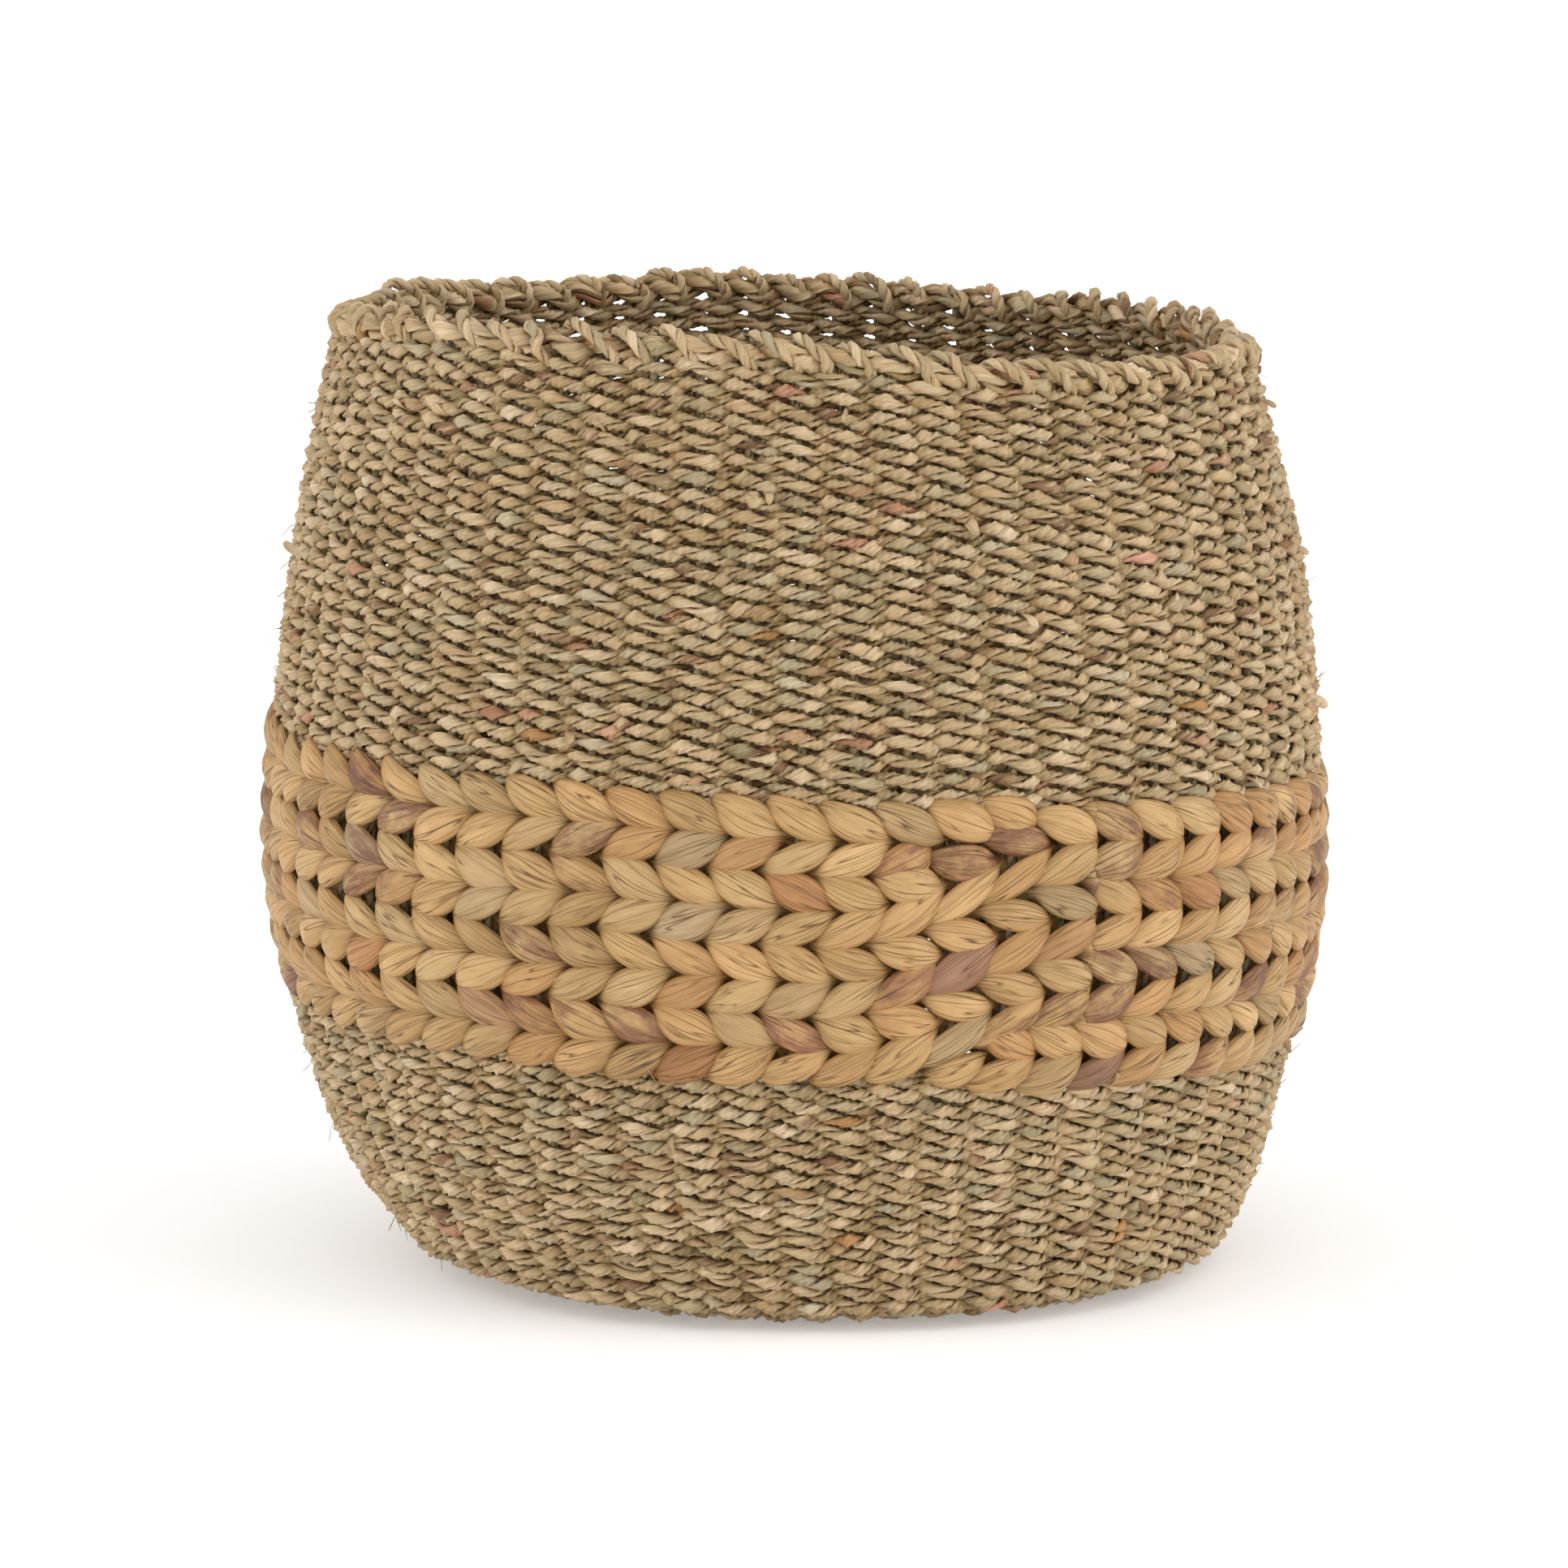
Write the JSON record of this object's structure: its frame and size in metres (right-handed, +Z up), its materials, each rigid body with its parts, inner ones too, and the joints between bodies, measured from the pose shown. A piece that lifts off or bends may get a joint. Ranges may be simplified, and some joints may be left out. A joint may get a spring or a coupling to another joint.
{
  "type": "storage basket",
  "caption": "Round storage basket twined from seagrass cord over upright stakes, with a bellied wall, a braided water hyacinth band and an open, looped rim.",
  "frame": {"origin": "centre of the bounding box at floor level, under the middle of the belly", "axes": "+Z up through the open mouth; the rounds of the wall dip gently towards +X; -Y is the side seen from the front"},
  "size_m": [0.3866, 0.3866, 0.3523],
  "materials": {
    "seagrass": "matte",
    "seagrass_stakes": "matte",
    "water_hyacinth": "satin"
  },
  "bodies": {
    "root": {"base_cross": "seagrass", "base_rounds": "seagrass", "lower_course_01": "seagrass", "lower_course_02": "seagrass", "lower_course_03": "seagrass", "lower_course_04": "seagrass", "lower_course_05": "seagrass", "lower_course_06": "seagrass", "lower_course_07": "seagrass", "lower_course_08": "seagrass", "lower_course_09": "seagrass", "lower_course_10": "seagrass", "lower_course_11": "seagrass", "lower_course_12": "seagrass", "lower_course_13": "seagrass", "lower_course_14": "seagrass", "lower_course_15": "seagrass", "lower_course_16": "seagrass", "inner_weavers_lower": "seagrass", "hyacinth_row_01": "water_hyacinth", "hyacinth_row_02": "water_hyacinth", "hyacinth_row_03": "water_hyacinth", "hyacinth_row_04": "water_hyacinth", "hyacinth_row_05": "water_hyacinth", "hyacinth_row_06": "water_hyacinth", "hyacinth_row_07": "water_hyacinth", "hyacinth_row_08": "water_hyacinth", "inner_weavers_band": "water_hyacinth", "upper_course_01": "seagrass", "upper_course_02": "seagrass", "upper_course_03": "seagrass", "upper_course_04": "seagrass", "upper_course_05": "seagrass", "upper_course_06": "seagrass", "upper_course_07": "seagrass", "upper_course_08": "seagrass", "upper_course_09": "seagrass", "upper_course_10": "seagrass", "upper_course_11": "seagrass", "upper_course_12": "seagrass", "upper_course_13": "seagrass", "upper_course_14": "seagrass", "upper_course_15": "seagrass", "upper_course_16": "seagrass", "upper_course_17": "seagrass", "upper_course_18": "seagrass", "upper_course_19": "seagrass", "upper_course_20": "seagrass", "upper_course_21": "seagrass", "upper_course_22": "seagrass", "upper_course_23": "seagrass", "upper_course_24": "seagrass", "inner_weavers_upper": "seagrass", "stakes": "seagrass_stakes", "rim_border": "seagrass", "rim_loops": "seagrass"}
  },
  "joints": []
}
